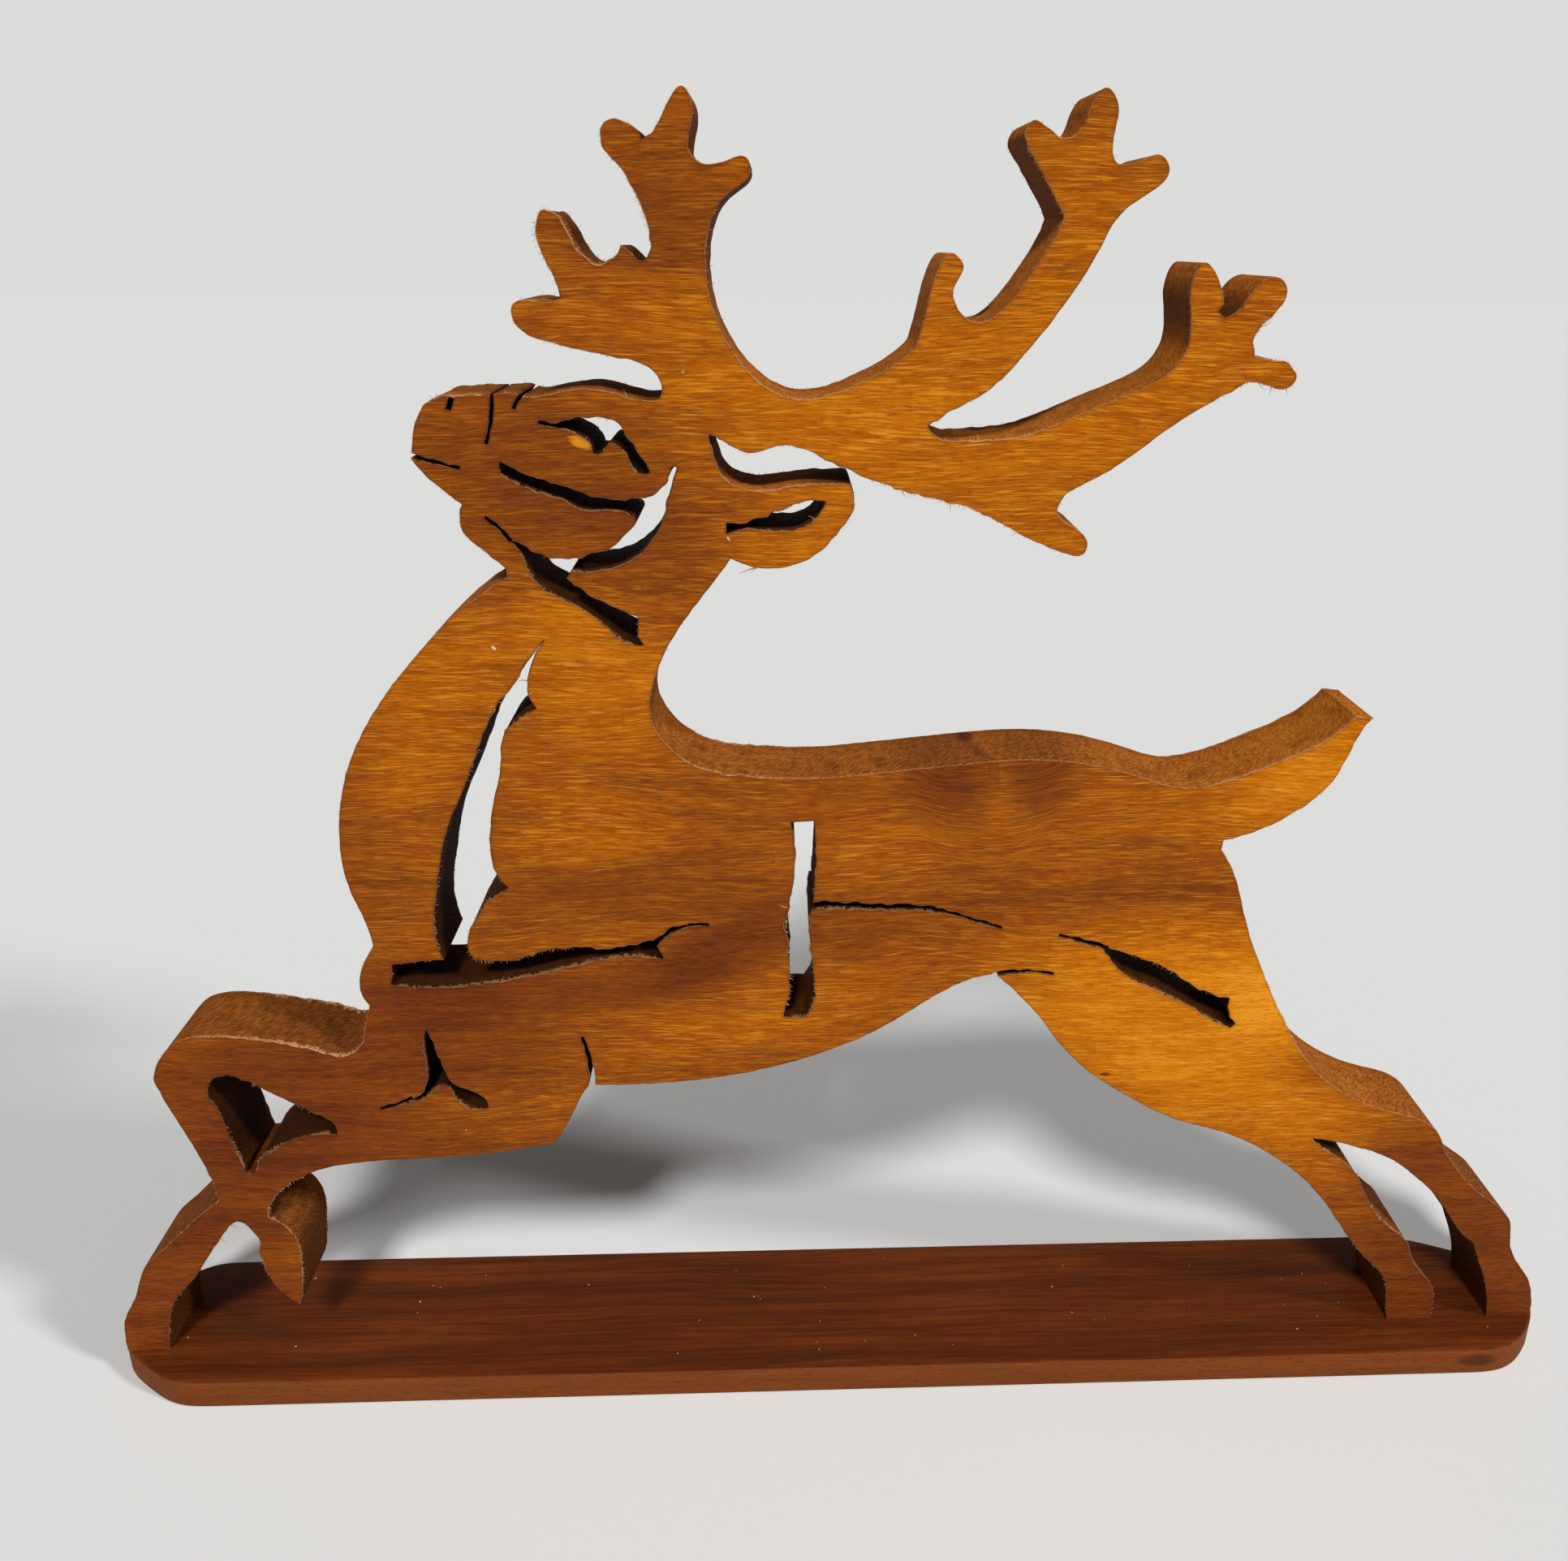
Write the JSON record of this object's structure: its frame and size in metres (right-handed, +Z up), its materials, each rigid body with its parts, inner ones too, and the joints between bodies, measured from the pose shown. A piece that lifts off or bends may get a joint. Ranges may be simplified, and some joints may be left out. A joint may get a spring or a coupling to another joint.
{
  "type": "reindeer figure on stand",
  "caption": "Leaping reindeer scroll-sawn from a thick wooden board, with pierced eye, jaw, ear and body lines, standing by its hooves on a thin round-ended wooden base plate",
  "frame": {"origin": "middle of the underside of the base plate, halfway between the outermost corners of the hooves", "axes": "+X runs along the base plate from the nose side to the tail side, +Y runs from the front face of the sawn board to its back, +Z is up"},
  "size_m": [0.3124, 0.038, 0.2524],
  "materials": {
    "reindeer_wood": "oiled cherry-like board with a fine straight grain along the length, satin faces, raw fuzzy sawn edges",
    "base_wood": "darker red-brown plate, rubbed satin, lightly rounded edges",
    "screw_steel": "bright zinc-plated countersunk screw"
  },
  "bodies": {
    "root": {"reindeer_board": "reindeer_wood", "base_board": "base_wood", "fore_hoof_screw": "screw_steel", "near_hind_hoof_screw": "screw_steel", "far_hind_hoof_screw": "screw_steel"}
  },
  "joints": []
}
